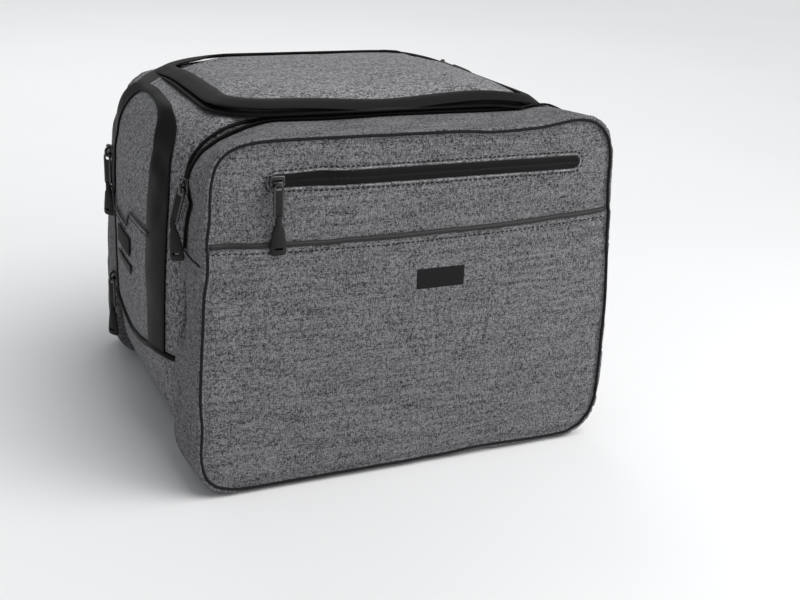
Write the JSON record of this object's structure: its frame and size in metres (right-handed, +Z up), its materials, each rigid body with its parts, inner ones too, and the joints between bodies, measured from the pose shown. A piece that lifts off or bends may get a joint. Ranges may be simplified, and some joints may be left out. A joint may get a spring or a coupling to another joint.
{
  "type": "bicycle trunk bag",
  "caption": "Zipped canvas trunk bag with a side pocket on each long side, coated zips and a flat base for a rear carrier.",
  "frame": {"origin": "on the floor under the middle of the bag's box, where it stands on its two side pockets", "axes": "+X along the bag's length towards the right end, -Y towards the near side pocket, +Z up"},
  "size_m": [0.3263, 0.3016, 0.2523],
  "materials": {
    "canvas": "heather grey woven polyester, matt",
    "lid_canvas": "heather grey woven polyester, matt",
    "coated_tape": "coated zip tape, satin black",
    "piping": "woven black piping, matt",
    "black_metal": "gloss black zip hardware",
    "grip_rubber": "moulded matt black rubber",
    "label": "woven black label, bare"
  },
  "bodies": {
    "root": {"trunk_foot": "canvas", "trunk_walls": "canvas", "lid": "lid_canvas", "lid_zip_tape": "coated_tape", "lid_storm_flap": "coated_tape", "left_end_panel": "canvas", "left_end_zip": "coated_tape", "left_foot_piping": "piping", "left_patch_pocket": "canvas", "left_end_label": "label", "left_lamp_loop": "piping", "right_end_panel": "canvas", "right_end_zip": "coated_tape", "right_foot_piping": "piping", "near_gusset": "canvas", "near_pocket_back": "canvas", "near_front_panel": "canvas", "near_lower_panel": "canvas", "near_line_piping": "piping", "near_zip_window": "coated_tape", "near_gusset_zip": "coated_tape", "near_label": "label", "far_gusset": "canvas", "far_pocket_back": "canvas", "far_front_panel": "canvas", "far_lower_panel": "canvas", "far_line_piping": "piping", "far_zip_window": "coated_tape", "far_gusset_zip": "coated_tape", "near_front_slider": "black_metal", "near_front_ring": "black_metal", "near_front_grip": "grip_rubber", "far_front_slider": "black_metal", "far_front_ring": "black_metal", "far_front_grip": "grip_rubber", "near_gusset_slider": "black_metal", "near_gusset_ring": "black_metal", "near_gusset_grip": "grip_rubber", "left_end_upper_slider": "black_metal", "left_end_upper_ring": "black_metal", "left_end_upper_grip": "grip_rubber", "left_end_lower_slider": "black_metal", "left_end_lower_ring": "black_metal", "left_end_lower_grip": "grip_rubber", "lid_slider": "black_metal", "lid_ring": "black_metal", "lid_grip": "grip_rubber"}
  },
  "joints": []
}
